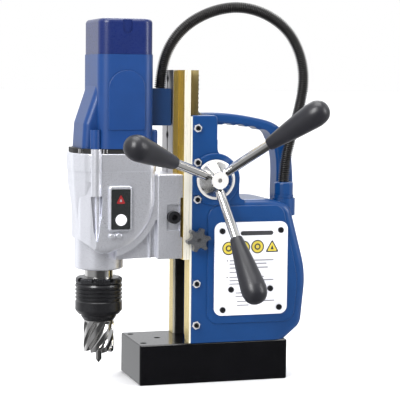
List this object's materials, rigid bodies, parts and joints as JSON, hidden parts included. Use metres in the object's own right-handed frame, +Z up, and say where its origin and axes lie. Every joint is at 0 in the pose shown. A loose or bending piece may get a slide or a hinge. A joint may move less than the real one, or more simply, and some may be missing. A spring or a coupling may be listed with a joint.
{
  "type": "magnetic drill press",
  "caption": "Portable drill press on an electromagnet base, with a rack-fed dovetail slide, geared motor head, annular cutter and carrying handle.",
  "frame": {"origin": "centre of the magnet's pole face, where it grips the work", "axes": "+Z up out of the work, +X from the spindle towards the carrying handle, -Y towards the feed handles"},
  "size_m": [0.2539, 0.1806, 0.3947],
  "materials": {
    "magnet_black": "gloss black paint",
    "copper": "enamelled copper wire",
    "resin": "potting resin",
    "fastener_steel": "zinc plated",
    "body_blue": "semi-gloss blue powder coat on a casting",
    "guide_brass": "milled brass",
    "black_steel": "black oxide",
    "bright_steel": "ground and polished",
    "plate_white": "printed cover plate",
    "panel_black": "moulded black plastic",
    "lamp_lens": "red lens",
    "board_green": "circuit board",
    "bush_bronze": "sintered bronze",
    "conduit_black": "ribbed black conduit",
    "chrome": "polished chrome",
    "machined_steel": "machined steel",
    "knob_black": "satin black plastic",
    "rocker_red": "red rocker",
    "button_green": "green push button",
    "button_red": "red push button",
    "slide_steel": "ground steel slide",
    "cast_aluminium": "satin cast aluminium",
    "label_black": "printed label",
    "gasket_black": "black rubber gasket",
    "motor_blue": "semi-gloss blue plastic",
    "motor_navy": "semi-gloss navy plastic",
    "lamination_steel": "laminated core with windings",
    "carbon": "carbon brush",
    "body_blue_plastic": "blue moulded block",
    "chuck_black": "black coated chuck sleeve"
  },
  "bodies": {
    "frame": {"magnet_shell": "magnet_black", "magnet_coil": "copper", "magnet_potting": "resin", "casting_bolts": "fastener_steel", "body_column": "body_blue", "body_housing": "body_blue", "body_handle": "body_blue", "guide_strips": "guide_brass", "gib_strip": "guide_brass", "gib_set_screws": "black_steel", "gib_lock_nuts": "bright_steel", "access_cover": "plate_white", "control_panel": "panel_black", "cover_screws": "black_steel", "magnet_lamp": "lamp_lens", "circuit_board": "board_green", "mains_gland": "panel_black", "conduit_gland": "body_blue", "gland_nut": "body_blue", "feed_bushes": "bush_bronze", "conduit_rear": "conduit_black"},
    "feed_hub": {"feed_hub": "chrome", "pinion_shaft": "machined_steel", "handle_rod_1": "chrome", "handle_rod_2": "chrome", "handle_rod_3": "chrome", "handle_knob_1": "knob_black", "handle_knob_2": "knob_black", "handle_knob_3": "knob_black"},
    "gib_lock": {"lock_knob": "knob_black", "lock_stud": "machined_steel"},
    "rocker": {"magnet_rocker": "rocker_red"},
    "start": {"start_button": "button_green"},
    "stop": {"stop_button": "button_red"},
    "slide": {"slide_plate": "slide_steel", "slide_bar": "slide_steel", "slide_screws": "black_steel", "feed_rack": "machined_steel", "conduit_front": "conduit_black"},
    "head": {"gearbox_housing": "cast_aluminium", "gearbox_lid": "cast_aluminium", "head_label": "label_black", "head_bearings": "machined_steel", "motor_gasket": "gasket_black", "gearbox_screws": "bright_steel", "motor_housing": "motor_blue", "motor_cap": "motor_navy", "motor_stator": "lamination_steel", "motor_brushes": "carbon", "cable_block": "body_blue_plastic"},
    "head_clamp": {"head_clamp_screw": "black_steel"},
    "armature": {"armature_shaft": "machined_steel", "armature_core": "lamination_steel"},
    "idler": {"idler_shaft": "machined_steel"},
    "spindle": {"spindle_shaft": "chrome", "spindle_gear": "machined_steel", "chuck_body": "bright_steel", "annular_cutter": "bright_steel"},
    "sleeve": {"chuck_sleeve": "chuck_black"},
    "pilot": {"pilot_pin": "bright_steel"}
  },
  "joints": [
    {"name": "feed", "type": "slide", "parent": "frame", "child": "slide", "axis": [0, 0, 1], "range_m": [-0.084, 0.06], "deforming": ["conduit_front", "conduit_rear"]},
    {"name": "hub_turn", "type": "hinge", "parent": "frame", "child": "feed_hub", "pos_m": [-0.002, 0, 0.2115], "axis": [0, 1, 0], "range_deg": [-543, 390]},
    {"name": "head_height", "type": "slide", "parent": "slide", "child": "head", "axis": [0, 0, 1], "range_m": [0, 0.075], "deforming": ["conduit_front"]},
    {"name": "head_clamp_turn", "type": "hinge", "parent": "head", "child": "head_clamp", "pos_m": [-0.045, -0.0351, 0.173], "axis": [0, 1, 0], "range_deg": [-540, 0]},
    {"name": "gib_lock_turn", "type": "hinge", "parent": "frame", "child": "gib_lock", "pos_m": [-0.021, -0.042, 0.15], "axis": [0, 1, 0], "range_deg": [-540, 90]},
    {"name": "spindle_spin", "type": "hinge", "parent": "head", "child": "spindle", "pos_m": [-0.114, 0, 0.1], "axis": [0, 0, 1], "continuous": true},
    {"name": "idler_spin", "type": "hinge", "parent": "head", "child": "idler", "pos_m": [-0.0934, 0.01897, 0.21], "axis": [0, 0, 1], "continuous": true},
    {"name": "armature_spin", "type": "hinge", "parent": "head", "child": "armature", "pos_m": [-0.0945, 0, 0.28], "axis": [0, 0, 1], "continuous": true},
    {"name": "sleeve_slide", "type": "slide", "parent": "spindle", "child": "sleeve", "axis": [0, 0, -1], "range_m": [0, 0.006], "stiffness_N_per_m": 800, "springref_m": -0.006},
    {"name": "pilot_slide", "type": "slide", "parent": "spindle", "child": "pilot", "axis": [0, 0, 1], "range_m": [0, 0.012], "stiffness_N_per_m": 250, "springref_m": -0.008},
    {"name": "magnet_rocker_tilt", "type": "hinge", "parent": "frame", "child": "rocker", "pos_m": [0.029, 0.041, 0.138], "axis": [1, 0, 0], "range_deg": [-6, 6]},
    {"name": "start_push", "type": "slide", "parent": "frame", "child": "start", "axis": [0, -1, 0], "range_m": [0, 0.003], "stiffness_N_per_m": 600, "springref_m": -0.001},
    {"name": "stop_push", "type": "slide", "parent": "frame", "child": "stop", "axis": [0, -1, 0], "range_m": [0, 0.003], "stiffness_N_per_m": 600, "springref_m": -0.001}
  ],
  "couplings": [
    {"joint": "hub_turn", "follows": "feed", "rad_per_m": 111.11},
    {"joint": "idler_spin", "follows": "spindle_spin", "ratio": -2.5},
    {"joint": "armature_spin", "follows": "spindle_spin", "ratio": 7}
  ]
}
